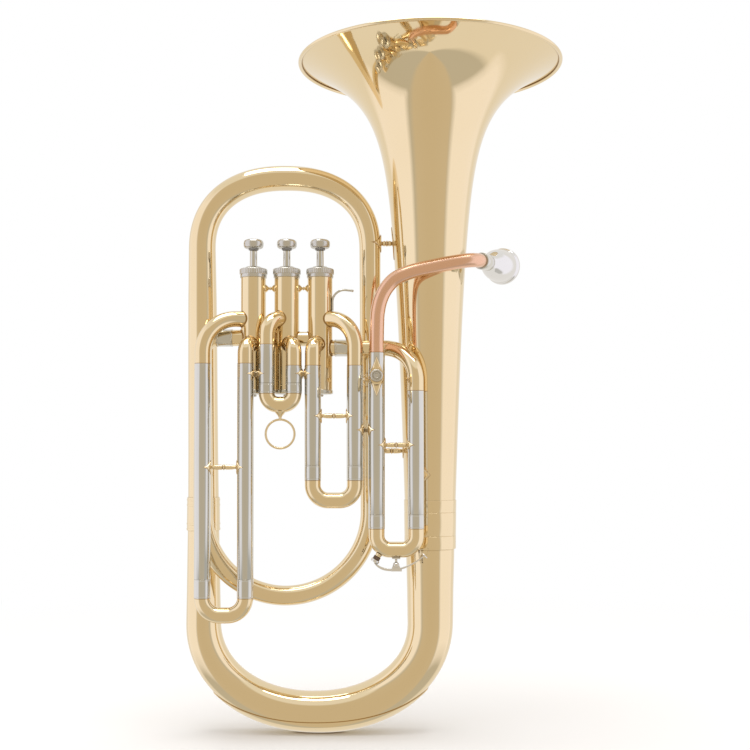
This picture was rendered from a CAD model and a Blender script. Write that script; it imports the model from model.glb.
"""A three-valve baritone horn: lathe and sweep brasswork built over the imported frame.

It stands upright on its bottom bow with the bell opening upwards on the +X side. Z is up and
the valve slides are towards the front, -Y. Shapes are in millimetres and become metres as
they are meshed.
"""
import math
from collections import namedtuple
from math import pi

import bpy
import bmesh
from mathutils import Matrix, Vector


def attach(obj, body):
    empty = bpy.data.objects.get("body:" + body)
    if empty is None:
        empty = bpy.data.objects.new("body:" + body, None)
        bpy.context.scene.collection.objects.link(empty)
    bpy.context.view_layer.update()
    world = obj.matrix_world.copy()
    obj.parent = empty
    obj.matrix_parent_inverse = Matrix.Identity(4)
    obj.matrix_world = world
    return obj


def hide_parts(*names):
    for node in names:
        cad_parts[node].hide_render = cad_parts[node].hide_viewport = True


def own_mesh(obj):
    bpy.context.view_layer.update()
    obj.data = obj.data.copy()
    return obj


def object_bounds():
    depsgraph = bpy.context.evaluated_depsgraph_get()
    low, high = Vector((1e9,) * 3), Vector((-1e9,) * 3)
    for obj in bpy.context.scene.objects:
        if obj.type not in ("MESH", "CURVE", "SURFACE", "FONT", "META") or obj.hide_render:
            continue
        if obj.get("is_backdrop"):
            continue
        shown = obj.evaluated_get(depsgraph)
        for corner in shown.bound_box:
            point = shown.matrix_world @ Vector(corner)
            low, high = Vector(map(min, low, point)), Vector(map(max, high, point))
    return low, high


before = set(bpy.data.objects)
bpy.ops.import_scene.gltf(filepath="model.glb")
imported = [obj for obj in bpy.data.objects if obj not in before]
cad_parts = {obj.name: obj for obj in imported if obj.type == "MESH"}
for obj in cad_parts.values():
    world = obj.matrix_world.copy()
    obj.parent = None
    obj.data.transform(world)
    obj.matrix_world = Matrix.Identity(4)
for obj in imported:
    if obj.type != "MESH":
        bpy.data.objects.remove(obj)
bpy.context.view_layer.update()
MM = 0.001
UP = Vector((0, 0, 1))
DOWN = -UP


# ---------- curves and frames ----------
def sind(degrees):
    return math.sin(math.radians(degrees))


def cosd(degrees):
    return math.cos(math.radians(degrees))


def mix(start, end, share):
    return start + (end - start) * share


def signed_power(value, power):
    return math.copysign(abs(value) ** power, value)


def lookup(x, stations):
    """Linear reading of a table of (x, value), held level past its ends."""
    if x <= stations[0][0]:
        return stations[0][1]
    for (x0, value0), (x1, value1) in zip(stations, stations[1:]):
        if x <= x1:
            return mix(value0, value1, (x - x0) / (x1 - x0))
    return stations[-1][1]


def smooth_curve(points, steps):
    """Points joined by a Catmull-Rom curve, with the given steps a span."""
    points = [Vector(point) for point in points]
    last = len(points) - 1
    curve = []
    for i in range(last):
        before, start = points[max(i - 1, 0)], points[i]
        end, after = points[i + 1], points[min(i + 2, last)]
        linear = end - before
        square = 2 * before - 5 * start + 4 * end - after
        cube = 3 * start - before - 3 * end + after
        for j in range(steps):
            share = j / steps
            curve.append(0.5 * (2 * start + linear * share + square * share * share
                                + cube * share ** 3))
    return curve + [points[-1]]


def rounded(profile, steps=5):
    """An (r, z) profile smoothed through its points."""
    return [(p[0], p[1]) for p in smooth_curve([(r, z, 0) for r, z in profile], steps)]


def bezier(start, pull0, pull1, end, share):
    rest = 1 - share
    return (rest ** 3 * start + 3 * share * rest ** 2 * pull0
            + 3 * share * share * rest * pull1 + share ** 3 * end)


def arc(centre, first, second, radius, start, end, steps):
    """Points about centre, from start to end degrees measured from first towards second."""
    centre, first, second = Vector(centre), Vector(first), Vector(second)
    angles = [mix(start, end, i / steps) for i in range(steps + 1)]
    return [centre + radius * (cosd(a) * first + sind(a) * second) for a in angles]


def bead(radius, low, high, height):
    """Profile of a half-round raised ring on a cylinder."""
    middle, half = (low + high) / 2, (high - low) / 2
    return [(radius + height * math.sin(pi * i / 8), middle - half * math.cos(pi * i / 8))
            for i in range(9)]


def knurl(low, high, teeth, depth):
    """Straight knurling for the part of a lathe profile between two heights."""
    def ridge(z, angle):
        return depth * (0.5 + 0.5 * math.cos(teeth * angle)) if low <= z <= high else 0.0
    return ridge


def upright(x, y=0, z=0):
    return Matrix.Translation((x, y, z))


def along(origin, axis):
    """A frame at origin with +Z along axis."""
    turn = Vector(axis).normalized().to_track_quat("Z", "Y")
    return Matrix.Translation(Vector(origin)) @ turn.to_matrix().to_4x4()


def facing(origin, degrees):
    """A frame at origin turned about the vertical, +X facing the given direction."""
    return Matrix.Translation(Vector(origin)) @ Matrix.Rotation(math.radians(degrees), 4, "Z")


def onto_cylinder(point, heading, cylinder):
    """The point moved along heading to the near side of an upright cylinder (x, y, radius)."""
    x, y, radius = cylinder
    level = Vector((heading.x, heading.y))
    offset = Vector((point.x - x, point.y - y))
    square, slope = level.dot(level), offset.dot(level)
    gap = offset.dot(offset) - radius ** 2
    root = math.sqrt(max(slope * slope - square * gap, 0.0))
    return point + heading * ((-slope - root) / square)


# ---------- shells ----------
class Shells:
    """Collects closed shells, in millimetres, into one mesh."""

    def __init__(self):
        self.points, self.faces = [], []

    def add(self, points, faces, matrix=None):
        start = len(self.points)
        self.points += [tuple(matrix @ Vector(p)) if matrix else tuple(p) for p in points]
        self.faces += [tuple(i + start for i in face) for face in faces]
        return self

    def grid(self, rows, closed=True):
        """Rings of points joined by quads; closed also joins the last ring to the first."""
        count, width = len(rows), len(rows[0])
        faces = []
        for i in range(count if closed else count - 1):
            near, far = i * width, (i + 1) % count * width
            for k in range(width):
                after = (k + 1) % width
                faces.append((near + k, near + after, far + after, far + k))
        return self.add([point for row in rows for point in row], faces)

    def lathe(self, profile, count=96, matrix=None, ridge=None, closed=True):
        """An (r, z) profile turned about Z, with poles at r=0. ridge(z, angle) adds to r."""
        points, faces, rings = [], [], []
        for radius, z in profile:
            start = len(points)
            if radius < 1e-6:
                rings.append([start])
                points.append((0, 0, z))
                continue
            rings.append(range(start, start + count))
            for k in range(count):
                angle = 2 * pi * k / count
                reach = radius + (ridge(z, angle) if ridge else 0)
                points.append((reach * math.cos(angle), reach * math.sin(angle), z))
        for i in range(len(profile) if closed else len(profile) - 1):
            near, far = rings[i], rings[(i + 1) % len(profile)]
            if len(near) == 1 and len(far) == 1:
                continue
            for k in range(count):
                after = (k + 1) % count
                if len(near) == 1:
                    faces.append((near[0], far[after], far[k]))
                elif len(far) == 1:
                    faces.append((near[k], near[after], far[0]))
                else:
                    faces.append((near[k], near[after], far[after], far[k]))
        return self.add(points, faces, matrix)

    def tube(self, path, radii, wall=None, count=48, side=(0, 1, 0),
             trim_start=None, trim_end=None, ends=None):
        """A pipe along path, or a rod without a wall.

        A trim (x, y, radius) fits that end to an upright cylinder. ends gives the directions
        at the two ends.
        """
        path = [Vector(point) for point in path]
        last = len(path) - 1
        if isinstance(radii, (int, float)):
            radii = [radii] * (last + 1)
        tangents = [(path[min(i + 1, last)] - path[max(i - 1, 0)]).normalized()
                    for i in range(last + 1)]
        if ends:
            tangents[0], tangents[-1] = [Vector(end).normalized() for end in ends]
        across = Vector(side).cross(tangents[0])
        if across.length <= 1e-6:
            across = tangents[0].orthogonal()
        across = across.normalized()
        frames = []
        for tangent in tangents:
            across = (across - tangent * across.dot(tangent)).normalized()
            frames.append((across.copy(), tangent.cross(across)))

        def rings(inset):
            made = []
            for point, radius, (first, second) in zip(path, radii, frames):
                size = radius - inset
                made.append([point + (size * math.cos(2 * pi * k / count)) * first
                             + (size * math.sin(2 * pi * k / count)) * second
                             for k in range(count)])
            for trim, i, way in ((trim_end, -1, 1), (trim_start, 0, -1)):
                if trim:
                    made[i] = [onto_cylinder(p, tangents[i] * way, trim) for p in made[i]]
            return made

        if wall:
            return self.grid(rings(0) + rings(wall)[::-1])
        start = len(self.points)
        self.grid(rings(0), closed=False)
        pole, far = len(self.points), start + last * count
        self.points += [tuple(path[0]), tuple(path[-1])]
        self.faces += [(pole, start + (k + 1) % count, start + k) for k in range(count)]
        self.faces += [(pole + 1, far + k, far + (k + 1) % count) for k in range(count)]
        return self

    def saddle(self, point, heading, tube_radius, cylinder, reach=0.6, count=64):
        """A flared collar where a pipe from point along heading lands on an upright cylinder."""
        point, heading = Vector(point), Vector(heading).normalized()
        sideways = heading.cross(UP)
        x, y, radius = cylinder
        # (distance beyond the tube radius, height above the cylinder)
        steps = [(-0.1, 0.75), (0.05, 0.75), (0.16, 0.42), (0.36, 0.24),
                 (reach, 0.14), (reach + 0.05, -0.2), (-0.1, -0.2)]
        rows = []
        for flare, height in steps:
            size = tube_radius + flare
            row = []
            for k in range(count):
                angle = 2 * pi * k / count
                offset = size * (math.cos(angle) * UP + math.sin(angle) * sideways)
                row.append(onto_cylinder(point + offset, heading, (x, y, radius + height)))
            rows.append(row)
        return self.grid(rows)

    def foot(self, matrix, surface, half_width, half_height, thick=0.8, count=16, sink=0.12):
        """Diamond plate on surface(across, up, lift), which gives points in matrix's frame."""
        spots = [0, 0.02, 0.05, 0.1]
        spots += [0.1 + 0.8 * i / (count - 6) for i in range(1, count - 6)]
        spots += [0.9, 0.95, 0.98, 1]
        size = len(spots)
        top, under = [], []
        for first in spots:
            for second in spots:
                place = half_width * (first - second), half_height * (first + second - 1)
                edge = min(first, 1 - first, second, 1 - second) / 0.1
                top.append(surface(*place, thick * (0.45 + 0.55 * min(1, edge) ** 0.5)))
                under.append(surface(*place, -sink))
        below = size * size
        faces = []
        for i in range(size - 1):
            for j in range(size - 1):
                a = i * size + j
                b = below + a
                faces.append((a, a + 1, a + size + 1, a + size))
                faces.append((b, b + size, b + size + 1, b + 1))
        rim = list(range(size)) + [i * size + size - 1 for i in range(1, size)]
        rim += [(size - 1) * size + j for j in range(size - 2, -1, -1)]
        rim += [i * size for i in range(size - 2, 0, -1)]
        for a, b in zip(rim, rim[1:] + rim[:1]):
            faces.append((b, a, below + a, below + b))
        return self.add(top + under, faces, matrix)

    def box(self, low, high, bevel):
        block = bmesh.new()
        bmesh.ops.create_cube(block, size=1)
        for vert in block.verts:
            vert.co = Vector([mix(low[i], high[i], vert.co[i] + 0.5) for i in range(3)])
        bmesh.ops.bevel(block, geom=list(block.edges), offset=bevel, segments=3,
                        affect="EDGES", profile=0.5)
        block.verts.index_update()
        self.add([vert.co.copy() for vert in block.verts],
                 [[vert.index for vert in face.verts] for face in block.faces])
        block.free()
        return self


def link_new(name, data):
    thing = bpy.data.objects.new(name, data)
    bpy.context.scene.collection.objects.link(thing)
    return thing


def mesh_of(name, shells):
    """A mesh in metres with its faces turned outwards."""
    mesh = bpy.data.meshes.new(name)
    mesh.from_pydata([(x * MM, y * MM, z * MM) for x, y, z in shells.points], [], shells.faces)
    work = bmesh.new()
    work.from_mesh(mesh)
    bmesh.ops.recalc_face_normals(work, faces=work.faces)
    work.to_mesh(mesh)
    work.free()
    return mesh


def shade(mesh, sharp, look):
    """Smooth shading broken at edges over sharp degrees, and one material."""
    mesh.shade_smooth()
    mesh.set_sharp_from_angle(angle=math.radians(sharp))
    mesh.materials.clear()
    mesh.materials.append(look)


def make(name, shells, look, *replaced, body="horn", sharp=38):
    """The finished object, riding a body and standing in for the named frame solids."""
    mesh = mesh_of(name, shells)
    shade(mesh, sharp, look)
    piece = link_new(name, mesh)
    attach(piece, body)
    if replaced:
        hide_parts(*replaced)
    return piece


# ---------- materials ----------
def node(tree, kind, inputs=None, **settings):
    """A new shader node; an input takes a socket, a number or an RGB colour."""
    made = tree.nodes.new("ShaderNode" + kind)
    for key, value in settings.items():
        setattr(made, key, value)
    for key, value in (inputs or {}).items():
        if isinstance(value, bpy.types.NodeSocket):
            tree.links.new(value, made.inputs[key])
        else:
            made.inputs[key].default_value = (*value, 1) if isinstance(value, tuple) else value
    return made


def noise(tree, coords, scale, detail=2.0):
    inputs = {"Scale": scale, "Detail": detail, "Vector": coords.outputs["Object"]}
    return node(tree, "TexNoise", inputs).outputs["Fac"]


def remap(tree, source, span, to=(0.0, 1.0), **settings):
    inputs = {"From Min": span[0], "From Max": span[1], "To Min": to[0], "To Max": to[1],
              "Value": source}
    return node(tree, "MapRange", inputs, **settings).outputs["Result"]


def blend(tree, factor, first, second):
    inputs = {"Factor": factor, "A": first, "B": second}
    return node(tree, "Mix", inputs, data_type="RGBA").outputs["Result"]


def bump(tree, height, strength, distance, **normal):
    inputs = {"Strength": strength, "Distance": distance, "Height": height, **normal}
    return node(tree, "Bump", inputs).outputs["Normal"]


def new_look(name):
    look = bpy.data.materials.new(name)
    look.use_nodes = True
    return look, look.node_tree, look.node_tree.nodes["Principled BSDF"]


def metal(name, base, patch, rough, coat=0.35, fine=0.015, crevice=None, grazing=None):
    """Polished metal with deeper patches, smudges, a faint rolling surface and fine grain.

    crevice colours the joints and grazing the surfaces seen edge-on.
    """
    look, tree, shader = new_look(name)
    shader.inputs["Metallic"].default_value = 1.0
    shader.inputs["Coat Weight"].default_value = coat
    shader.inputs["Coat Roughness"].default_value = 0.03
    coords = node(tree, "TexCoord")
    patches = remap(tree, noise(tree, coords, scale=9), span=(0.45, 0.8), to=(0.0, 0.35))
    colour = blend(tree, patches, base, patch)
    if grazing:
        edge_on = node(tree, "LayerWeight", {"Blend": 0.22}).outputs["Facing"]
        colour = blend(tree, edge_on, colour, grazing)
    if crevice:
        joints = node(tree, "AmbientOcclusion", {"Distance": 0.0022}, samples=6).outputs["AO"]
        joints = remap(tree, joints, span=(0.25, 0.8), to=(1.0, 0.0))
        colour = blend(tree, joints, colour, crevice)
    tree.links.new(colour, shader.inputs["Base Color"])
    smudges = noise(tree, coords, scale=38, detail=4)
    smudges = remap(tree, smudges, span=(0.35, 0.75), to=rough)
    tree.links.new(smudges, shader.inputs["Roughness"])
    waves = noise(tree, coords, scale=60, detail=1)
    grain = noise(tree, coords, scale=2200)
    rolling = bump(tree, waves, strength=0.02, distance=0.002)
    surface = bump(tree, grain, strength=fine, distance=0.0002, Normal=rolling)
    tree.links.new(surface, shader.inputs["Normal"])
    return look


def matt(name, base, rough=0.9, scale=900, relief=0.4):
    """Felt or cork: one noise mottles the colour and roughens the surface."""
    look, tree, shader = new_look(name)
    shader.inputs["Roughness"].default_value = rough
    fibres = noise(tree, node(tree, "TexCoord"), scale)
    colour = blend(tree, fibres, tuple(part * 0.7 for part in base), base)
    tree.links.new(colour, shader.inputs["Base Color"])
    surface = bump(tree, fibres, strength=relief, distance=0.0003)
    tree.links.new(surface, shader.inputs["Normal"])
    return look


tarnish = metal("solder_line_look", base=(0.40, 0.23, 0.07), patch=(0.30, 0.16, 0.05),
                rough=(0.22, 0.34), coat=0.3)
satin = metal("satin_nickel_look", base=(0.62, 0.60, 0.55), patch=(0.54, 0.52, 0.47),
              rough=(0.2, 0.28), coat=0.0, crevice=(0.14, 0.12, 0.09))
brass = metal("lacquered_brass_look", base=(0.84, 0.69, 0.44), patch=(0.79, 0.62, 0.36),
              rough=(0.03, 0.07), fine=0.008, crevice=(0.25, 0.13, 0.03))
nickel = metal("nickel_silver_look", base=(0.64, 0.63, 0.58), patch=(0.55, 0.54, 0.49),
               rough=(0.035, 0.075), coat=0.0, fine=0.008, crevice=(0.12, 0.10, 0.07),
               grazing=(0.86, 0.84, 0.80))
copper = metal("rose_brass_look", base=(0.82, 0.51, 0.35), patch=(0.76, 0.44, 0.29),
               rough=(0.18, 0.26), crevice=(0.28, 0.13, 0.06))
silver = metal("silver_plate_look", base=(0.80, 0.79, 0.77), patch=(0.73, 0.72, 0.70),
               rough=(0.03, 0.07), coat=0.0, crevice=(0.2, 0.19, 0.18))
steel = metal("spring_steel_look", base=(0.55, 0.55, 0.56), patch=(0.4, 0.4, 0.41),
              rough=(0.15, 0.3), coat=0.0)
felt = matt("felt_look", base=(0.40, 0.38, 0.35))
cork = matt("cork_look", base=(0.16, 0.10, 0.06), rough=0.85, scale=1400, relief=0.6)

# ---------- main dimensions (mm) ----------
BELL_X, BELL_TOP, RIM = 50.3, 611.0, 120.5  # axis, height and rim radius
LEFT_X, RIGHT_X = -156.0, -4.2  # the two uprights of the main branch
LEFT_JOINT_X = LEFT_X - 0.35
LEFT_JOINT_Z = 198.5
VALVE_PITCH = 29.75
VALVE_XS = [-49.1 - VALVE_PITCH * i for i in (2, 1, 0)]
VALVE_Y, SLIDE_Y = -25.0, -44.0
CASING, BORE = 11.1, 10.25  # valve radii
SLEEVE, TUBE, LEG_BORE = 7.25, 7.0, 6.35  # slide radii
HIGH_PORT, LOW_PORT, JOINT_PORT, ENTRY_PORT = 372.8, 350.0, 355.6, 347.5  # heights

# x of the two legs, tops of their sleeves, bottom of both sleeves, top and depth of the bow,
# reach of the legs above the sleeve bottoms, and bend radius of the bow
Slide = namedtuple("Slide", "left right left_top right_top bottom bow_top depth reach bend")
FIRST = Slide(-151.1, -113.5, 332.1, 332.1, 143.8, 127.1, 15.2, 150, 15.2)
SECOND = Slide(-95.0, -71.3, 348.8, 330.3, 315.3, 306.1, 9.9, 13.5, 9.9)
THIRD = Slide(-54.5, -17.6, 330.3, 330.3, 243.2, 230.0, 17.7, 76, 13.5)
TUNING = Slide(1.4, 35.8, 341.7, 308.3, 200.4, 187.8, 18.5, 96, 12)

# ---------- bell ----------
BELL_TAPER = 0.02593
BELL_FLARES = ((65.56, 30), (20.42, 113.6))  # widening at the top, distance it fades over
RIM_BEAD, RIM_WIRE = 1.6, 0.95


def bell_radius(z):
    down = BELL_TOP - z
    flare = sum(size * math.exp(-down / fade) for size, fade in BELL_FLARES)
    return 33.05 - BELL_TAPER * down + flare


def bell_inside(z, wall=0.6):
    """The (r, z) of the inner face square to the outer face at z."""
    down = BELL_TOP - z
    slope = BELL_TAPER + sum(size / fade * math.exp(-down / fade) for size, fade in BELL_FLARES)
    inset = wall / math.sqrt(1 + slope * slope)
    return bell_radius(z) - inset, z + inset * slope


heights = [BELL_TOP - 0.7 - 421.3 * (1 - i / 150) ** 2.3 for i in range(151)]
bead_r, bead_z = RIM - RIM_BEAD, BELL_TOP - 1.4
profile = [(bell_radius(z), z) for z in heights]
profile += [(bead_r + RIM_BEAD * cosd(a), min(bead_z + RIM_BEAD * sind(a), BELL_TOP))
            for a in range(160, 478, 8)]
profile += [bell_inside(z) for z in reversed(heights) if BELL_TOP - z > 1.2]
wire = [(bead_r + RIM_WIRE * cosd(-a), bead_z + RIM_WIRE * sind(-a)) for a in range(0, 360, 15)]
bell = Shells().lathe(profile, 256, upright(BELL_X)).lathe(wire, 256, upright(BELL_X))
make("bell_shell", bell, brass, "bell", sharp=50)

profile = [
    (23.25, 167.0), (23.45, 167.15), (23.5, 167.5), (23.5, 178.5), (23.42, 178.65),
    (23.3, 178.75), (23.3, 178.95), (23.42, 179.05), (23.5, 179.2), (23.75, 199.7),
    (23.67, 199.85), (23.55, 199.95), (23.55, 200.15), (23.67, 200.25), (23.75, 200.4),
    (23.88, 210.6), (23.84, 210.95), (23.72, 211.15)]
profile += [(bell_radius(z) + 0.03, z) for z in (211.2, 205, 198, 189, 188.9)]
profile += [(22.35, 178), (22.2, 167.0)]
ferrule = Shells().lathe(profile, 160, upright(BELL_X))
make("bell_ferrule_shell", ferrule, brass, "bell_ferrule", sharp=50)

# ---------- bottom bow and its guard ----------
BOW_HALF, BOW_X = (BELL_X - LEFT_X) / 2, (BELL_X + LEFT_X) / 2
BOW_Z, BOW_DEPTH, BOW_POWER = 100, 80.9, 2 / 2.1


def bow_point(degrees):
    """Centre of the bottom bow, from the left upright at 0 to the bell at 180."""
    return Vector((BOW_X - BOW_HALF * signed_power(cosd(degrees), BOW_POWER), 0,
                   BOW_Z - BOW_DEPTH * signed_power(sind(degrees), BOW_POWER)))


def bow_radius(share):
    return mix(15.7, 20.7, share)


# (x, z, radius) of the straight ends either side of the bow
left_end = [(LEFT_JOINT_X, LEFT_JOINT_Z, 14.0), (LEFT_JOINT_X, 194, 14.05),
            (LEFT_X - 0.2, 160, 14.65), (LEFT_X - 0.1, 130, 15.1)]
right_end = [(BELL_X, 130, 21.1), (BELL_X, 160, 21.9), (BELL_X, 188.85, 22.3)]
path = [(x, 0, z) for x, z, _ in left_end]
path += [bow_point(180 * i / 120) for i in range(121)]
path += [(x, 0, z) for x, z, _ in right_end]
radii = [radius for _, _, radius in left_end]
radii += [bow_radius(i / 120) for i in range(121)]
radii += [radius for _, _, radius in right_end]
make("bottom_bow_shell", Shells().tube(path, radii, 0.6, 96), brass, "bottom_bow")

GUARD_SPAN, GUARD_STEPS, GUARD_ACROSS = (38, 146), 110, 40
rows = []
for i in range(GUARD_STEPS + 1):
    angle = mix(*GUARD_SPAN, i / GUARD_STEPS)
    centre = bow_point(angle)
    tangent = (bow_point(angle + 0.5) - bow_point(angle - 0.5)).normalized()
    outward = Vector((tangent.z, 0, -tangent.x))
    outward = -outward if outward.z > 0 else outward
    half_wrap = 6 + 62 * abs(math.sin(pi * i / GUARD_STEPS)) ** 0.6
    radius = bow_radius(angle / 180)
    top, under = [], []
    for k in range(GUARD_ACROSS + 1):
        across = 2 * k / GUARD_ACROSS - 1
        wrap = half_wrap * (1.5 * across - 0.5 * across ** 3)
        # the plate thins towards its edges and ends
        edge = min((1 - abs(across)) * half_wrap * 0.33, i * 0.9, (GUARD_STEPS - i) * 0.9)
        thick = 0.25 + 0.6 * min(1.0, edge) ** 0.5 if edge > 0 else 0.25
        heading = cosd(wrap) * outward + sind(wrap) * Vector((0, 1, 0))
        top.append(centre + (radius + thick) * heading)
        under.append(centre + (radius - 0.12) * heading)
    rows.append(top + under[::-1])
guard = Shells().grid(rows, closed=False)
width = len(rows[0])
for start in (0, GUARD_STEPS * width):
    guard.faces += [(start + k, start + k + 1, start + width - 2 - k, start + width - 1 - k)
                    for k in range(GUARD_ACROSS)]
make("bow_guard_plate", guard, brass, "bow_guard")

# ---------- main branch and crook ----------
profile = [(14.5, 183.4), (15.05, 183.4), *bead(15.08, 183.7, 185.6, 0.28),
           (15.03, 186.2), (15.0, 188.0), *bead(15.0, 188.4, 190.3, 0.3),
           (15.0, 190.8), (14.85, 205.0), *bead(14.86, 205.5, 207.3, 0.3),
           (14.85, 207.7), (14.8, 210.0), *bead(14.8, 210.3, 212.0, 0.3),
           (14.78, 212.4), (14.7, 213.3), (14.5, 213.5), (14.0, 213.5), (14.15, LEFT_JOINT_Z)]
ferrule = Shells().lathe(profile, 128, upright(LEFT_X - 0.38))
make("branch_ferrule_shell", ferrule, brass, "branch_ferrule", sharp=50)

TOP_BOW_Z, TOP_BOW_HEIGHT, TOP_BOW_POWER = 440, 65.3, 2 / 2.3
top_left, top_right = LEFT_X - 2.1, RIGHT_X - 0.4
top_x, top_half = (top_left + top_right) / 2, (top_right - top_left) / 2
# (z, radius) up the left upright
left_radii = [(LEFT_JOINT_Z, 13.95), (256, 13.5), (340, 13.2), (393, 12.9), (TOP_BOW_Z, 12.2)]
path, radii = [], []
for z in (198.6, 204, 256, 340, 393, 420):
    lean = (z - LEFT_JOINT_Z) / (TOP_BOW_Z - LEFT_JOINT_Z)
    path.append((mix(LEFT_JOINT_X, top_left, lean) if z > 204 else LEFT_JOINT_X, 0, z))
    radii.append(lookup(z, left_radii))
for i in range(101):
    angle = 180 * i / 100
    path.append((top_x - top_half * signed_power(cosd(angle), TOP_BOW_POWER), 0,
                 TOP_BOW_Z + TOP_BOW_HEIGHT * signed_power(sind(angle), TOP_BOW_POWER)))
    radii.append(mix(12.2, 11.2, i / 50) if i < 50 else mix(11.2, 9.7, (i - 50) / 50))
for z in (400, 300, 240, 201):
    path.append((mix(top_right, RIGHT_X, (TOP_BOW_Z - z) / 200) if z > 201 else RIGHT_X, 0, z))
    radii.append(mix(9.6, 8.9, (TOP_BOW_Z - z) / 240))
make("main_branch_shell", Shells().tube(path, radii, 0.6, 80), brass, "main_branch")

CROOK, CROOK_Z, CROOK_TUBE = 74.6, 200, 8.88
crook_end_x = RIGHT_X - 2 * CROOK
path, radii = [(RIGHT_X, 0, 201)], [CROOK_TUBE]
for i in range(97):
    angle = 180 * i / 96
    path.append((RIGHT_X - CROOK + CROOK * cosd(angle), VALVE_Y * (1 - cosd(angle)) / 2,
                 CROOK_Z - CROOK * sind(angle)))
    radii.append(CROOK_TUBE)
for z in (272, 344.3):
    path.append((crook_end_x, VALVE_Y, z))
    radii.append(mix(8.85, 7.5, (z - CROOK_Z) / 144))
make("lower_crook_shell", Shells().tube(path, radii, 0.6, 64), brass, "lower_crook")

EXIT_X, EXIT_Z = -141.2, 356.5
exit_bend = EXIT_X - crook_end_x
path = arc((EXIT_X, VALVE_Y, EXIT_Z - exit_bend), (-1, 0, 0), UP, exit_bend, 0, 90, 32)
elbow = Shells().tube(path, 7.5, 0.65, 64, ends=(UP, (1, 0, 0)))
make("exit_elbow_shell", elbow, brass, "exit_elbow")

ENTRY_X = VALVE_XS[2] + 13.1
sleeves = Shells()
for bore, radius, length, x, z in ((6.85, 7.75, 14.3, EXIT_X, EXIT_Z),
                                   (6.6, 7.55, 13.7, ENTRY_X, ENTRY_PORT)):
    profile = [(bore, 0), (radius, 0), *bead(radius, 0.15, 1.6, 0.25), (radius, 1.9),
               (radius, length - 1.9), *bead(radius, length - 1.6, length - 0.2, 0.25),
               (radius - 0.05, length), (bore, length)]
    sleeves.lathe(profile, 96, along((x, VALVE_Y, z), (1, 0, 0)))
make("port_ferrule_sleeves", sleeves, nickel, "port_ferrules", sharp=50)

pulls = [Vector(point) for point in (
    (8, VALVE_Y, ENTRY_PORT), (24.5, VALVE_Y, ENTRY_PORT), (TUNING.right, SLIDE_Y, 334.5),
    (TUNING.right, SLIDE_Y, 317))]
path = [(ENTRY_X + 13.7, VALVE_Y, ENTRY_PORT)] + [bezier(*pulls, i / 60) for i in range(61)]
path.append((TUNING.right, SLIDE_Y, TUNING.right_top))
entry = Shells().tube(path, TUBE, 0.6, 64, side=(0.25, 1, 0.3))
make("entry_tube_shell", entry, brass, "entry_tube")

# ---------- leadpipe, receiver and mouthpiece ----------
mouth_way = Vector((0.43, 0.90, 0.05)).normalized()
mouth_end = Vector((93.7, -35, 424.0))
# (x from the tuning slide's left leg, y from the slides, z)
lead_path = [
    (0, 0, 341.72), (0, 0, 346), (0, 0, 352), (0.3, 0, 366), (0.9, 0, 377), (3.4, -0.3, 388.2),
    (8.6, -0.8, 398.6), (17.4, -1.8, 407.3), (32, -3.2, 413.2), (50, -4.4, 417.2)]
path = [(TUNING.left + x, SLIDE_Y + y, z) for x, y, z in lead_path]
path += [(66, -49.2, 420.0), (77, -48.6, 421.8), (84.3, -46.5, 422.8), (88.9, -43.0, 423.35)]
path += [mouth_end - 5 * mouth_way, mouth_end - 2.5 * mouth_way, mouth_end]
path = smooth_curve(path, 8)
radii = [mix(6.4, 6.2, i / (len(path) - 1)) for i in range(len(path))]
leadpipe = Shells().tube(path, radii, 0.6, 64, side=(0.7, -0.7, 0.1), ends=(UP, mouth_way))
make("leadpipe_shell", leadpipe, copper, "leadpipe")


def socket(z):
    """Radius of the tapered socket at z along the mouthpiece."""
    return 4.95 + (z + 4) * 0.034


mouth_frame = along(mouth_end, mouth_way)
profile = [(socket(-4), -4), (5.42, -4), (5.42, 0.03), (7.0, 0.03), (7.2, 0.1),
           *bead(7.1, 0.2, 1.4, 0.35), (7.08, 1.7), (7.1, 2.2), (7.35, 2.4), (7.45, 2.7),
           (7.45, 14.9), (7.35, 15.2), (7.1, 15.4), (7.08, 15.9),
           *bead(7.12, 16.0, 17.9, 0.47), (7.0, 18), (socket(18), 18)]
receiver = Shells().lathe(profile, 96, mouth_frame)
make("mouthpiece_receiver_shell", receiver, nickel, "mouthpiece_receiver", sharp=50)

outside = [(socket(18) - 0.06, 18), (5.9, 20.5), (6.6, 23.4), (7.6, 25.6), (9.6, 28.6),
           (12.0, 33), (13.7, 38.5), (14.7, 44.5), (15.1, 50.5), (15.2, 53.0)]
rim = [(15.2, 53.0), (15.6, 54.2), (16.5, 55.3), (16.78, 56.8), (16.78, 58.3), (16.2, 59.4),
       (15.0, 59.95), (13.6, 59.5), (12.7, 58)]
inside = [(12.7, 58), (12.3, 53), (11.3, 46), (9.2, 40), (6.2, 35.5), (3.9, 33), (3.3, 31),
          (3.4, 22)]
profile = [(4.2, -3), (socket(-3) - 0.06, -3)] + rounded(outside, 6)
profile += rounded(rim, 6)[1:] + rounded(inside, 6)[1:]
mouthpiece = Shells().lathe(profile, 144, mouth_frame)
make("mouthpiece_body", mouthpiece, silver, "mouthpiece", body="mouthpiece", sharp=50)

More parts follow.
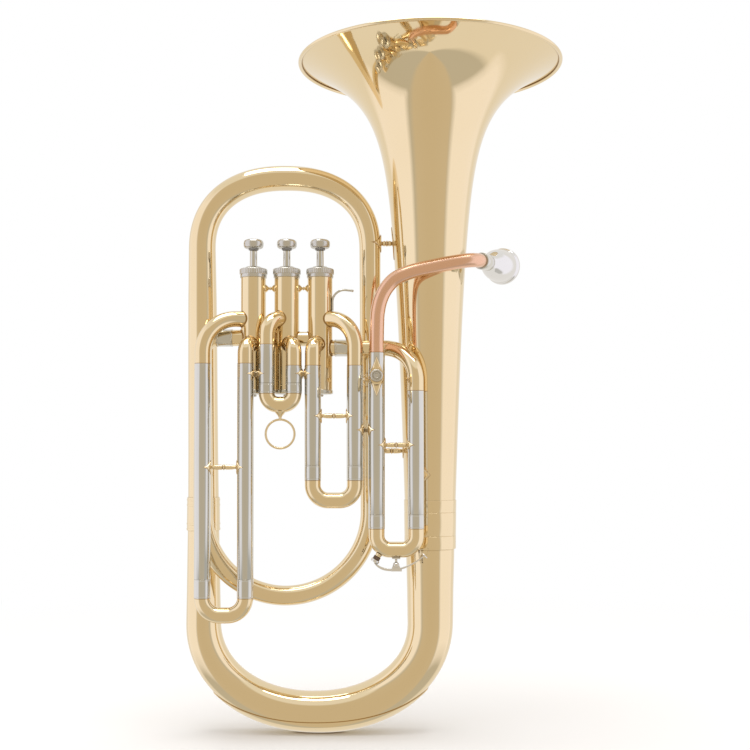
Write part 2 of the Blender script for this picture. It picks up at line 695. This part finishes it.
# ---------- valve block ----------
# the casings keep their drilled ports, so the frame's own solids are shown
top_cap = [
    (CASING - 2.2, 407), (CASING - 0.9, 407), (CASING - 0.9, 410.05), (11.45, 410.05),
    (11.7, 410.2), (11.84, 410.5), (11.84, 412.6), (11.74, 412.85), (11.74, 413.0),
    (11.9, 413.2), (12.08, 413.45), (12.1, 417.35), (12.02, 417.75), (11.85, 418.02),
    (11.55, 418.12), (11.25, 417.95), (11.05, 417.72), (10.85, 417.75), (10.4, 418.05),
    (9.7, 418.45), (9.0, 418.78), (8.0, 419.1), (7.2, 419.38), (6.85, 419.6), (6.5, 419.95),
    (6.2, 420.1), (5.9, 420.13), (5.6, 420.02), (5.35, 419.7), (5.15, 419.35), (4.8, 419.03),
    (3.5, 419.03), (3.37, 418.85), (3.37, 416.5), (8.2, 415.5), (CASING - 2.2, 412.5)]
bottom_cap = [
    (1.4, 303.9), (2.4, 303.9), (2.8, 304.1), (3.0, 304.6), (3.3, 305.5), (4.0, 305.75),
    (10.2, 306.0), (11.0, 306.25), (11.45, 306.7), (11.6, 307.3), (11.6, 309.2),
    (11.45, 309.7), (11.2, 309.93), (BORE - 0.06, 309.93), (BORE - 0.06, 310.4),
    (BORE - 1.4, 310.4), (BORE - 1.4, 308.2), (1.4, 308.2)]
for end, profile, count, ridge, look in (
        ("top", top_cap, 288, knurl(413.4, 417.5, teeth=44, depth=0.28), satin),
        ("bottom", bottom_cap, 240, knurl(306.9, 309.4, teeth=40, depth=0.1), nickel)):
    caps = Shells()
    for x in VALVE_XS:
        caps.lathe(profile, count, upright(x, VALVE_Y), ridge)
    make("valve_%s_caps" % end, caps, look, end + "_caps", sharp=50)

stem = [(0, 398), (2.0, 398), (2.0, 403.55), (3.0, 403.55), (3.3, 403.85), (3.3, 435.9),
        (3.0, 436.35), (1.9, 436.38), (1.9, 441.5), (0, 441.5)]
button = [
    (1.95, 436.46), (6.1, 436.46), (6.5, 436.5), (7.4, 436.8), (8.1, 437.35), (8.55, 438.1),
    (8.78, 439.0), (8.85, 440.0), (8.85, 441.3), (8.76, 442.1), (8.5, 442.85), (8.05, 443.45),
    (7.4, 443.95), (6.6, 444.3), (5.8, 444.5), (5.2, 444.56), (4.85, 444.42), (4.5, 444.3),
    (2.0, 444.27), (0, 444.24), (0, 441.6), (1.95, 441.6)]
COIL_RADIUS, COIL_TURNS, COIL_STEPS = 7.1, 6.5, 156
for number, x in enumerate(VALVE_XS, 1):
    valve = "valve_%d" % number
    make("valve_stem_rod_%d" % number, Shells().lathe(stem, 64, upright(x, VALVE_Y)), nickel,
         "valve_stem_%d" % number, body=valve, sharp=50)
    make("finger_button_top_%d" % number, Shells().lathe(button, 96, upright(x, VALVE_Y)),
         satin, "finger_button_%d" % number, body=valve, sharp=50)
    # bottom spring: closes up under the piston as the valve goes down
    coil = []
    for k in range(COIL_STEPS + 1):
        angle = 360 * COIL_TURNS * k / COIL_STEPS
        coil.append((x + COIL_RADIUS * cosd(angle), VALVE_Y + COIL_RADIUS * sind(angle),
                     mix(308.75, 339.8, k / COIL_STEPS)))
    spring = make("valve_spring_coil_%d" % number,
                  Shells().tube(coil, 0.45, count=12, side=(0, 0, 1)), steel,
                  "valve_spring_%d" % number)
    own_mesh(spring)

# knuckles between the casings and out to the two ferrules
knuckles, saddles = Shells(), Shells()


def casing(x, inset=0.0):
    return x, VALVE_Y, CASING - inset


pairs = [(left, right, (left + right) / 2) for left, right in zip(VALVE_XS, VALVE_XS[1:])]
for left, right, middle in pairs:
    for x, way in ((left, -1), (right, 1)):
        saddles.saddle((middle, VALVE_Y, JOINT_PORT), (way, 0, 0), 6.5, casing(x))
    knuckles.tube([(x, VALVE_Y, JOINT_PORT) for x in (left + 5, middle, right - 5)],
                  6.5, 0.6, 64, trim_start=casing(left, 0.35), trim_end=casing(right, 0.35))
first_x, last_x = VALVE_XS[0], VALVE_XS[2]
knuckles.tube([(x, VALVE_Y, EXIT_Z) for x in (EXIT_X + 14.3, EXIT_X + 17, first_x - 12)],
              7.3, 1.0, 64, trim_end=casing(first_x, 0.35))
saddles.saddle((EXIT_X + 14.3, VALVE_Y, EXIT_Z), (1, 0, 0), 7.3, casing(first_x))
knuckles.tube([(x, VALVE_Y, ENTRY_PORT) for x in (ENTRY_X, last_x + 12.6, last_x + 12)],
              7.0, 0.9, 64, trim_end=casing(last_x, 0.35))
saddles.saddle((ENTRY_X, VALVE_Y, ENTRY_PORT), (-1, 0, 0), 7.0, casing(last_x), reach=0.5)
make("valve_knuckle_tubes", knuckles, brass, "valve_knuckles", sharp=50)

# turned posts between the casings, their ends pulled out onto the casing walls
profile = [(0, -5.6), (4.3, -5.6), (4.3, -4.6), (3.9, -3.9),
           *rounded([(3.9, -3.9), (2.6, -2.5), (1.35, -1.3), (1.1, -0.7)])[1:],
           *bead(1.1, -0.5, 0.5, 0.7),
           *rounded([(1.1, 0.7), (1.35, 1.3), (2.6, 2.5), (3.9, 3.9)]),
           (4.3, 4.6), (4.3, 5.6), (0, 5.6)]
SEAT = CASING - 0.3
posts = Shells()
for left, right, middle in pairs:
    start = len(posts.points)
    posts.lathe(profile, 64, along((middle, VALVE_Y, 400.8), (1, 0, 0)))
    for k in range(start, len(posts.points)):
        x, y, z = posts.points[k]
        for axis_x, way in ((left, 1), (right, -1)):
            if math.hypot(x - axis_x, y - VALVE_Y) < SEAT:
                wall_x = axis_x + way * math.sqrt(SEAT ** 2 - (y - VALVE_Y) ** 2)
                posts.points[k] = (wall_x, y, z)
make("valve_brace_posts", posts, brass, "valve_braces", sharp=50)

# elbows between the slides and the casings:
# (leg x, height of the leg's top, casing x, port height, bend radius)
elbow_table = [
    (FIRST.left, FIRST.left_top, VALVE_XS[0], HIGH_PORT, 31),
    (FIRST.right, FIRST.right_top, VALVE_XS[0], LOW_PORT, 9.5),
    (SECOND.left, SECOND.left_top, VALVE_XS[1], HIGH_PORT, 16),
    (SECOND.right, SECOND.right_top, VALVE_XS[1], LOW_PORT, 9.5),
    (THIRD.right, THIRD.right_top, VALVE_XS[2], HIGH_PORT, 26),
    (THIRD.left, THIRD.left_top, VALVE_XS[2], LOW_PORT, 9.5)]
elbows = Shells()
for leg_x, leg_top, valve_x, port, bend in elbow_table:
    inward = Vector((valve_x - leg_x, VALVE_Y - SLIDE_Y, 0))
    length = inward.length
    inward.normalize()
    base = Vector((leg_x, SLIDE_Y, 0))
    path = [base + UP * leg_top, base + UP * (leg_top + (port - bend - leg_top) * 0.5)]
    path += arc(base + inward * bend + UP * (port - bend), -inward, UP, bend, 0, 90, 40)
    path.append(base + inward * max(length - CASING - 1.5, bend + 0.5) + UP * port)
    elbows.tube(path, TUBE, 0.65, 64, side=(inward.y, -inward.x, 0),
                trim_end=casing(valve_x, 0.35), ends=(UP, inward))
    saddles.saddle(base + inward * bend + UP * port, inward, TUBE, casing(valve_x))
make("slide_elbow_tubes", elbows, brass, "slide_elbows", sharp=50)
make("port_saddles", saddles, tarnish, sharp=60)

# ---------- slides ----------
NIPPLE_ANGLE = 238.4
nipple_way = Vector((cosd(NIPPLE_ANGLE), 0, sind(NIPPLE_ANGLE)))
tuning_corner = Vector((TUNING.left + TUNING.bend, SLIDE_Y,
                        TUNING.bow_top - (TUNING.depth - TUNING.bend)))


def solder_ring(radii, lifts, z):
    return [(radius, z + lift) for radius, lift in zip(radii, lifts)]


def build_slide(name, slide):
    body = name + "_slide"
    bottom, bow_top = slide.bottom, slide.bow_top
    ends = ((slide.left, slide.left_top), (slide.right, slide.right_top))

    sleeves = Shells()
    for x, top in ends:
        sleeves.lathe([(6.8, bottom + 0.25), (6.95, bottom), (7.1, bottom),
                       (SLEEVE, bottom + 0.18), (SLEEVE, top - 0.2), (7.1, top), (6.8, top)],
                      96, upright(x, SLIDE_Y))
    make(body + "_sleeve_tubes", sleeves, nickel, body + "_sleeves", sharp=50)

    # each leg has a ferrule, grooved near both ends, and a thinner length inside the sleeve
    low, high, top = bow_top, bottom - 0.06, bottom + slide.reach
    profile = [
        (LEG_BORE, low), (7.1, low), (7.25, low + 0.15), (7.25, low + 0.9), (7.13, low + 1.1),
        (7.13, low + 1.35), (7.25, low + 1.55), (7.25, high - 1.5), (7.13, high - 1.3),
        (7.13, high - 1.05), (7.25, high - 0.85), (7.25, high - 0.15), (7.1, high),
        (6.75, high), (6.75, top - 0.3), (6.6, top), (LEG_BORE, top)]
    legs = Shells()
    for x, _ in ends:
        legs.lathe(profile, 96, upright(x, SLIDE_Y))
    make(body + "_leg_tubes", legs, nickel, body + "_legs", body=body, sharp=30)

    above, below = Shells(), Shells()
    for x, top in ends:
        above.lathe(solder_ring((6.85, 7.16, 7.16, 7.08, 7.015, 6.85),
                                (-0.1, -0.1, 0.12, 0.3, 0.42, 0.42), top),
                    64, upright(x, SLIDE_Y))
        below.lathe(solder_ring((6.85, 7.14, 7.14, 7.07, 7.015, 6.85),
                                (0.1, 0.1, -0.12, -0.28, -0.4, -0.4), bow_top),
                    64, upright(x, SLIDE_Y))
    make(name + "_sleeve_solder_lines", above, tarnish, sharp=60)
    make(name + "_bow_solder_lines", below, tarnish, body=body, sharp=60)

    bend = slide.bend
    z = bow_top - (slide.depth - bend)
    path = arc((slide.left + bend, SLIDE_Y, z), (-1, 0, 0), DOWN, bend, 0, 90, 40)
    path += arc((slide.right - bend, SLIDE_Y, z), DOWN, (1, 0, 0), bend, 0, 90, 40)
    if slide.depth > bend:
        path = [(slide.left, SLIDE_Y, bow_top), *path, (slide.right, SLIDE_Y, bow_top)]
    bow = Shells().tube(path, TUBE, 0.65, 72, ends=(DOWN, UP))
    if slide is TUNING:
        # drain nipple under the left corner
        bow.lathe([(1.6, -1.0), (3.1, -1.0), (3.0, 0.0), (2.7, 0.5), (2.6, 0.9), (2.6, 1.9),
                   (2.45, 2.2), (1.6, 2.2)],
                  48, along(tuning_corner + (bend + 7.0) * nipple_way, nipple_way))
    make(body + "_bow_tube", bow, brass, body + "_bow", body=body, sharp=50)


for name, slide in (("first", FIRST), ("second", SECOND), ("third", THIRD), ("tuning", TUNING)):
    build_slide(name, slide)

# pull ring hanging under the second slide
ring_centre = Vector(((SECOND.left + SECOND.right) / 2, SLIDE_Y, 270.5))
RING, RING_WIRE = 12.6, 1.0
rows = []
for i in range(144):
    outward = Vector((cosd(2.5 * i), 0, sind(2.5 * i)))
    rows.append([ring_centre + (RING + RING_WIRE * cosd(10 * k)) * outward
                 + RING_WIRE * sind(10 * k) * Vector((0, 1, 0)) for k in range(36)])
neck = [(0, 0), (1.5, 0), *rounded([(1.5, 0), (1.3, 2.0), (1.9, 3.6)])[1:],
        *rounded([(2.6, 4.4), (4.0, 6.0), (5.1, 7.6)], 4), (5.1, 8.2), (0, 8.2)]
pull_ring = Shells().grid(rows).lathe(neck, 48, upright(ring_centre.x, SLIDE_Y, 282.7))
make("pull_ring_wire", pull_ring, brass, "pull_ring", body="second_slide")

# ---------- braces ----------
brace_solder = Shells()


def post(shells, start, end, size):
    """A turned post: end collars, two swelling arms and a bead at the waist."""
    start, end = Vector(start), Vector(end)
    length = (end - start).length
    half = length / 2
    waist = min(1.6, half * 0.28)
    collar = [(r * size, z) for r, z in ((1.45, 0.0), (1.45, 0.35), (1.2, 0.55), (0.85, 0.9))]
    arm = rounded([(0.85 * size, 0.9), (1.2 * size, 0.9 + (half - waist - 0.9) * 0.35),
                   (1.3 * size, half - waist - 0.25)], 6)[1:]
    profile = [(0, 0)] + collar + arm
    profile += [(1.3 * size, half - waist), (0.95 * size, half - waist + 0.25)]
    profile += [((0.95 + 0.55 * sind(180 * k / 10)) * size,
                 mix(half - waist + 0.45, half + waist - 0.45, k / 10)) for k in range(11)]
    profile += [(0.95 * size, half + waist - 0.25), (1.3 * size, half + waist)]
    profile += [(r, length - z) for r, z in reversed(collar + arm)] + [(0, length)]
    shells.lathe(profile, 40, along(start, end - start))


def tube_surface(radius):
    return lambda across, up, lift: Vector(
        (math.sqrt(max((radius + lift) ** 2 - across * across, 0)), across, up))


def bell_surface(z):
    return lambda across, up, lift: tube_surface(bell_radius(z + up))(across, up, lift)


def plate(shells, matrix, surface, half_width, half_height, widest=math.inf, count=16):
    """A diamond foot with the dark line of solder round its edge."""
    shells.foot(matrix, surface, half_width, half_height, count=count)
    brace_solder.foot(matrix, surface, min(half_width + 0.42, widest), half_height + 0.5,
                      thick=0.12, count=count, sink=0.2)


def tube_plate(shells, tube, z, angle, half_height, inset):
    x, y, radius = tube
    plate(shells, facing((x, y, z), angle), tube_surface(radius), radius - inset, half_height,
          radius - 0.06)


def bearing(start, end):
    """Direction from one (x, y, radius) to another, in degrees and as a unit vector."""
    angle = math.degrees(math.atan2(end[1] - start[1], end[0] - start[0]))
    return angle, Vector((cosd(angle), sind(angle), 0))


def sleeve_at(x):
    return x, SLIDE_Y, SLEEVE


# (start tube, end tube, z, post size, half height of the plates)
slide_brace_table = [
    (sleeve_at(FIRST.left), sleeve_at(FIRST.right), 241.4, 1.7, 6.2),
    (sleeve_at(THIRD.left), sleeve_at(THIRD.right), 286.3, 1.7, 6.2),
    (sleeve_at(TUNING.left), sleeve_at(TUNING.right), 260.8, 1.7, 6.2),
    (sleeve_at(FIRST.right), sleeve_at(SECOND.left), 323.3, 1.9, 4.4),
    (sleeve_at(SECOND.right), sleeve_at(THIRD.left), 323.3, 1.9, 4.4),
    (sleeve_at(THIRD.right), sleeve_at(TUNING.left), 274.0, 1.9, 6.2),
    (sleeve_at(THIRD.right), (RIGHT_X - 0.2, 0, 9.32), 320.0, 1.7, 6.2)]
braces = Shells()
for start, end, z, size, half_height in slide_brace_table:
    angle, heading = bearing(start, end)
    tube_plate(braces, start, z, angle, half_height, inset=0.3)
    tube_plate(braces, end, z, angle + 180, half_height, inset=0.3)
    post(braces, Vector((*start[:2], z)) + (start[2] + 0.4) * heading,
         Vector((*end[:2], z)) - (end[2] + 0.4) * heading, size)
make("slide_brace_posts", braces, brass, "slide_braces")

# (tube, z, post size, half height on the tube, half height and half width on the bell)
bell_brace_table = [
    ((RIGHT_X - 0.4, 0, 9.82), 445.3, 1.9, 8, 15, 6.2),
    ((RIGHT_X - 0.04, 0, 9.15), 255.6, 1.9, 7, 6.6, 6.6),
    (sleeve_at(TUNING.right), 234.0, 1.7, 6.6, 6.6, 6.6)]
braces = Shells()
for start, z, size, half_height, bell_half_height, bell_half_width in bell_brace_table:
    angle, heading = bearing(start, (BELL_X, 0))
    tube_plate(braces, start, z, angle, half_height, inset=0.4)
    plate(braces, facing((BELL_X, 0, z), angle + 180), bell_surface(z), bell_half_width,
          bell_half_height)
    post(braces, Vector((*start[:2], z)) + (start[2] + 0.4) * heading,
         Vector((BELL_X, 0, z)) - (bell_radius(z) + 0.45) * heading, size)
make("bell_brace_posts", braces, brass, "bell_braces")

# finger hook
HOOK_BEND, HOOK_BALL = 10.6, 1.22
hook_x, hook_y = last_x + 11.2, VALVE_Y - 4
hook_tip = (-20.2, hook_y, 398.2)
path = [(hook_x, hook_y, z) for z in (380.5, 383, 386)]
path += [(hook_x + HOOK_BEND + HOOK_BEND * cosd(a), hook_y, 388.3 + HOOK_BEND * sind(a))
         for a in range(180, 81, -4)]
ball = [(HOOK_BALL * sind(15 * k) if 0 < k < 12 else 0, -HOOK_BALL * cosd(15 * k))
        for k in range(13)]
hook = Shells().tube(path + [hook_tip], 1.0, count=24)
hook.lathe(ball, 32, upright(*hook_tip), closed=False)
make("finger_hook_wire", hook, nickel, "finger_hook")

# ---------- music-lyre holder ----------
lyre = Vector((TUNING.left, SLIDE_Y, 320.6))
holder = Shells()
plate(holder, facing(lyre, -90), tube_surface(SLEEVE), 6.85, 17, 7.18, count=24)

# boss: an eight-sided block standing forward of the plate, bored for the lyre's stem
corners = [Vector(corner) for corner in (
    (5.6, 3.4), (2.8, 7.4), (-2.8, 7.4), (-5.6, 3.4),
    (-5.6, -3.4), (-2.8, -7.4), (2.8, -7.4), (5.6, -3.4))]
outline = []
for k, corner in enumerate(corners):
    back = (corners[k - 1] - corner).normalized() * 0.45
    ahead = (corners[(k + 1) % 8] - corner).normalized() * 0.45
    outline += [corner + back, corner + (back + ahead) * 0.28, corner + ahead]
work = bmesh.new()
loops = [[work.verts.new((lyre.x + x * scale, SLIDE_Y - out, lyre.z + z * scale))
          for x, z in outline]
         for out, scale in ((SLEEVE + 0.2, 1.0), (SLEEVE + 10.9, 1.0), (SLEEVE + 11.2, 0.965))]
for near, far in zip(loops, loops[1:]):
    for i in range(len(outline)):
        after = (i + 1) % len(outline)
        work.faces.new((near[i], near[after], far[after], far[i]))
work.faces.new(loops[0][::-1])
work.faces.new(loops[-1])
bmesh.ops.recalc_face_normals(work, faces=work.faces)
for vert in work.verts:
    vert.co *= MM
boss_mesh = bpy.data.meshes.new("lyre_boss_solid")
work.to_mesh(boss_mesh)
work.free()
boss = link_new("lyre_boss_solid", boss_mesh)


def drill(target, start, end, radius):
    """Cuts a round hole and leaves a plain mesh."""
    start, end = Vector(start), Vector(end)
    rod = Shells().tube([start, (start + end) / 2, end], radius)
    cutter = link_new("cutter", mesh_of("cutter", rod))
    hole = target.modifiers.new("hole", "BOOLEAN")
    hole.operation, hole.solver, hole.object = "DIFFERENCE", "EXACT", cutter
    bpy.context.view_layer.update()
    graph = bpy.context.evaluated_depsgraph_get()
    drilled = bpy.data.meshes.new_from_object(target.evaluated_get(graph))
    target.modifiers.clear()
    target.data = drilled
    bpy.data.objects.remove(cutter)


stem_y = SLIDE_Y - (SLEEVE + 6.0)
drill(boss, (lyre.x, stem_y, lyre.z - 12), (lyre.x, stem_y, lyre.z + 12), 2.5)
drill(boss, (lyre.x, stem_y, lyre.z), (lyre.x, SLIDE_Y - SLEEVE - 16, lyre.z), 1.56)
holder.add([tuple(vert.co / MM) for vert in boss.data.vertices],
           [tuple(face.vertices) for face in boss.data.polygons])
bpy.data.objects.remove(boss)
make("lyre_holder_plate", holder, brass, "lyre_holder", sharp=30)
make("brace_solder_lines", brace_solder, tarnish, sharp=60)

head = [(0, 0), (4.1, 0), (4.8, 0.2), (5.1, 0.55), (5.2, 1.0), (5.2, 3.5), (5.1, 3.85),
        (4.7, 4.2), (4.1, 4.38), (3.85, 4.3), (3.7, 4.05), (3.2, 4.05), (3.05, 4.2),
        (2.85, 4.5), (2.6, 4.58), (2.05, 4.58), (1.9, 4.45), (1.7, 4.1), (0, 4.1)]
shank = [(0, -2.6), (1.3, -2.6), (1.5, -2.4), (1.5, 0.4), (0, 0.4)]
screw_frame = along((lyre.x, SLIDE_Y - SLEEVE - 11.4, 320.6), (0, -1, 0))
screw = Shells().lathe(head, 216, screw_frame, knurl(1.0, 3.5, teeth=36, depth=0.24))
screw.lathe(shank, 48, screw_frame)
make("lyre_screw_head", screw, satin, "lyre_screw", body="lyre_screw")

# ---------- water key ----------
pivot = Vector((18.5, SLIDE_Y, 156.2))
cup = tuning_corner + (TUNING.bend + 12.6) * nipple_way
# half width and half thickness at stations along the lever
lever_widths = [(0, 2.2), (8, 1.9), (18, 2.4), (30, 2.35), (48, 1.5), (60, 1.9)]
lever_thicknesses = [(0, 0.65), (15, 1.12), (30, 1.05), (45, 0.68), (60, 0.48)]
LEVER_STEPS, LEVER_ROUND = 60, 28
pulls = [Vector(point) for point in (
    (cup.x - 1.0, 0, cup.z - 2.2), (cup.x + 5, 0, 149.0), (24.5, 0, 148.2), (43.2, 0, 164.2))]
spine = [bezier(*pulls, i / LEVER_STEPS) for i in range(LEVER_STEPS + 1)]
rows = []
for i, point in enumerate(spine):
    tangent = (spine[min(i + 1, LEVER_STEPS)] - spine[max(i - 1, 0)]).normalized()
    normal = Vector((-tangent.z, 0, tangent.x))
    width, thick = lookup(i, lever_widths), lookup(i, lever_thicknesses)
    row = []
    for k in range(LEVER_ROUND):
        angle = 2 * pi * k / LEVER_ROUND
        row.append(Vector((point.x, SLIDE_Y, point.z))
                   + Vector((0, 1, 0)) * width * signed_power(math.cos(angle), 0.5)
                   + normal * thick * signed_power(math.sin(angle), 0.6))
    rows.append(row)
arm = Shells().grid(rows, closed=False)
far = LEVER_STEPS * LEVER_ROUND
arm.faces += [tuple(range(LEVER_ROUND)), tuple(range(far, far + LEVER_ROUND))[::-1]]

# the two cheeks either side of the hinge, as (x, z) from the pivot
cheek = [(-4.15, -4.75), (0, -4.9), (4.55, -4.95), (3.6, -2.8), (2.68, -0.6), (2.5, 0.75)]
cheek += [(2.3 * cosd(a), 2.3 * sind(a)) for a in range(30, 151, 12)]
cheek += [(-2.5, 0.75), (-2.68, -0.6), (-3.4, -2.6)]
for low, high in ((-4.6, -3.4), (3.4, 4.6)):
    start, size = len(arm.points), len(cheek)
    layers = ((low, 0.93), (low + 0.25, 1.0), (high - 0.25, 1.0), (high, 0.93))
    arm.grid([[(pivot.x + x * scale, SLIDE_Y + y, pivot.z + z * scale) for x, z in cheek]
              for y, scale in layers], closed=False)
    far = start + 3 * size
    arm.faces += [tuple(range(start, start + size))[::-1], tuple(range(far, far + size))]
arm.box((pivot.x - 4.5, SLIDE_Y - 4.6, 150.7), (pivot.x + 5.0, SLIDE_Y + 4.6, 151.7), bevel=0.3)
cup_profile = [(0, 2.2), (3.3, 2.2), (3.75, 1.95), (3.9, 1.4), (3.9, 0.1), (3.75, -0.25),
               (3.4, -0.4), (3.15, -0.3), (3.15, 0.9), (0, 0.9)]
arm.lathe(cup_profile, 64, along(cup, nipple_way))
thumb_disc = [(0, -0.5), (2.8, -0.5), (3.4, -0.35), (3.6, 0.0), (3.5, 0.35), (3.0, 0.6),
              (1.5, 0.72), (0, 0.74)]
thumb_frame = along((43.4, SLIDE_Y, 164.4), (sind(48), 0, cosd(48)))
arm.lathe(thumb_disc, 56, thumb_frame @ Matrix.Rotation(pi, 4, "X"))
make("water_key_arm", arm, silver, "water_key_lever", body="water_key")

knuckle = [(1.02, -1.6), (1.9, -1.6), (2.1, -1.4), (2.1, 1.4), (1.9, 1.6), (1.02, 1.6)]
hinge = Shells().lathe(knuckle, 48, along(pivot, (0, 1, 0)))
hinge.box((pivot.x - 1.1, SLIDE_Y - 1.5, pivot.z + 1.7),
          (pivot.x + 1.1, SLIDE_Y + 1.5, pivot.z + 6.2), bevel=0.25)
hinge.box((pivot.x - 3.6, SLIDE_Y - 2.6, 161.3), (pivot.x + 3.6, SLIDE_Y + 2.6, 162.75),
          bevel=0.35)
make("water_key_hinge_block", hinge, silver, "water_key_saddle", body="tuning_slide")
pin = [(0, -0.9), (1.6, -0.9), (1.9, -0.65), (1.9, -0.1), (1.75, 0), (1.0, 0), (1.0, 9.7),
       (0.8, 9.9), (0, 9.9)]
pin_frame = along((pivot.x, SLIDE_Y - 5.0, pivot.z), (0, 1, 0))
make("water_key_pin_screw", Shells().lathe(pin, 40, pin_frame), silver, "water_key_pin",
     body="tuning_slide")


# ---------- frame solids that stay ----------
def frame_look(name):
    if name.startswith("valve_casing"):
        return brass
    if name.startswith("piston"):
        return nickel
    for word, look in (("spring", steel), ("wire", steel), ("felt", felt), ("cork", cork)):
        if word in name:
            return look
    return brass


for name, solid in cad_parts.items():
    if not solid.hide_render:
        shade(solid.data, 32, frame_look(name))

# ---------- floor (metres from here on) ----------
scene = bpy.context.scene
FLOOR_HALF = 15
floor_mesh = bpy.data.meshes.new("studio_floor")
floor_mesh.from_pydata([(x * FLOOR_HALF, y * FLOOR_HALF, 0.0)
                        for x, y in ((-1, -1), (1, -1), (1, 1), (-1, 1))], [], [(0, 1, 2, 3)])
floor = link_new("studio_floor", floor_mesh)
floor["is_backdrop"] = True


def unlit_look(name):
    """A new material without its usual shader."""
    look, tree, shader = new_look(name)
    tree.nodes.remove(shader)
    return look, tree


def finish_mix(tree, output, factor, first, second):
    """Mixes two shaders into the output node."""
    mixed = node(tree, "MixShader", {0: factor, 1: first.outputs[0], 2: second.outputs[0]})
    tree.links.new(mixed.outputs[0], tree.nodes[output].inputs["Surface"])


# pale near the horn, fading to plain white further out
look, tree = unlit_look("studio_floor_look")
pale = node(tree, "BsdfDiffuse", {"Color": (0.86, 0.855, 0.845)})
white = node(tree, "Emission", {"Color": (1, 1, 1)})
coords = node(tree, "TexCoord")
distance = node(tree, "VectorMath", {0: coords.outputs["Object"]}, operation="LENGTH")
fade = remap(tree, distance.outputs["Value"], span=(0.25, 1.1), interpolation_type="SMOOTHSTEP")
finish_mix(tree, "Material Output", fade, pale, white)
floor_mesh.materials.append(look)
floor.visible_glossy = False  # the metal reflects the light bands of the room, as in a tent

# ---------- world: a band of brightness round the horn, and an overhead glow ----------
BACK, SIDE = (0.90, 0.87, 0.83), (0.60, 0.585, 0.55)
MIDDLE, DEEP = (0.69, 0.61, 0.49), (0.68, 0.595, 0.465)
# (bearing from the camera side in degrees, +X positive; colour)
room_stops = [(-180, BACK), (-116, BACK), (-104, SIDE), (-46, SIDE), (-36, MIDDLE), (-12, DEEP),
              (8, DEEP), (38, MIDDLE), (46, SIDE), (104, SIDE), (116, BACK), (180, BACK)]
world = bpy.data.worlds.new("studio")
scene.world = world
world.use_nodes = True
tree = world.node_tree
coords = node(tree, "TexCoord")
split = node(tree, "SeparateXYZ", {0: coords.outputs["Generated"]})
around = node(tree, "Math", {0: split.outputs["X"]}, operation="ARCTAN2")
towards = node(tree, "Math", {0: split.outputs["Y"], 1: -1}, operation="MULTIPLY")
tree.links.new(towards.outputs[0], around.inputs[1])
turn = remap(tree, around.outputs[0], span=(-pi, pi))
band = node(tree, "ValToRGB", {"Fac": turn})
band.color_ramp.interpolation = "LINEAR"
elements = band.color_ramp.elements
while len(elements) > 1:
    elements.remove(elements[0])
elements[0].position = 0
elements[0].color = (*room_stops[0][1], 1)
for degrees, colour in room_stops[1:]:
    elements.new((degrees + 180) / 360).color = (*colour, 1)
overhead = remap(tree, split.outputs["Z"], span=(0.62, 0.74), interpolation_type="SMOOTHSTEP")
room = blend(tree, overhead, band.outputs["Color"], (0.90, 0.885, 0.86))
lit = tree.nodes["Background"]
tree.links.new(room, lit.inputs["Color"])
# the camera itself sees plain white
seen = node(tree, "Background", {"Color": (1, 1, 1), "Strength": 1.0})
rays = node(tree, "LightPath")
finish_mix(tree, "World Output", rays.outputs["Is Camera Ray"], lit, seen)


# ---------- lights ----------
def soft_box(name, start, end, radius=1.0, low=-0.6, high=1.5, power=1.10):
    """A curved, soft-edged panel of light from bearing start to end, in degrees, +X positive."""
    columns, levels = 24, 12
    points, glows = [], []
    for i in range(columns + 1):
        angle = mix(start, end, i / columns)
        for j in range(levels + 1):
            points.append((radius * sind(angle), -radius * cosd(angle),
                           mix(low, high, j / levels)))
            glows.append(min(min(i, columns - i) / (columns * 0.12),
                             min(j, levels - j) / (levels * 0.12), 1.0))
    pitch = levels + 1
    faces = [(i * pitch + j, (i + 1) * pitch + j, (i + 1) * pitch + j + 1, i * pitch + j + 1)
             for i in range(columns) for j in range(levels)]
    mesh = bpy.data.meshes.new(name)
    mesh.from_pydata(points, [], faces)
    attribute = mesh.attributes.new("glow", "FLOAT", "POINT")
    for entry, glow in zip(attribute.data, glows):
        entry.value = glow
    panel = link_new(name, mesh)
    panel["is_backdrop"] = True
    panel.visible_camera = False
    panel.visible_shadow = False
    look, tree = unlit_look(name + "_look")
    edge = node(tree, "Attribute", attribute_name="glow")
    light = node(tree, "Emission", {"Color": (0.97, 0.95, 1.0), "Strength": power})
    clear = node(tree, "BsdfTransparent")
    finish_mix(tree, "Material Output", edge.outputs["Fac"], clear, light)
    mesh.materials.append(look)


soft_box("left_soft_box", start=-124, end=-42)
soft_box("right_soft_box", start=42, end=124)

lamp = bpy.data.lights.new("overhead_bank", "AREA")
lamp.shape = "RECTANGLE"
lamp.size, lamp.size_y = 1.6, 1.2
lamp.energy = 26
bank_place, bank_target = Vector((0.0, -0.2, 2.4)), Vector((0, 0, 0.3))
bank = bpy.data.objects.new("overhead_bank", lamp)
bank.location = bank_place
bank.rotation_euler = (bank_target - bank_place).to_track_quat("-Z", "Y").to_euler()
scene.collection.objects.link(bank)

# ---------- camera, in front and tilted slightly up ----------
lens = bpy.data.cameras.new("photo_camera")
lens.sensor_width = 36
lens.lens = 57.3
lens.shift_y = 0.07
lens.clip_start, lens.clip_end = 0.05, 60
camera = link_new("photo_camera", lens)
camera.location = (0, -1.09, 0.2583)
camera.rotation_euler = (math.radians(90 + 0.98), 0, 0)
scene.camera = camera
scene.view_settings.view_transform = "Standard"

low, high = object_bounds()
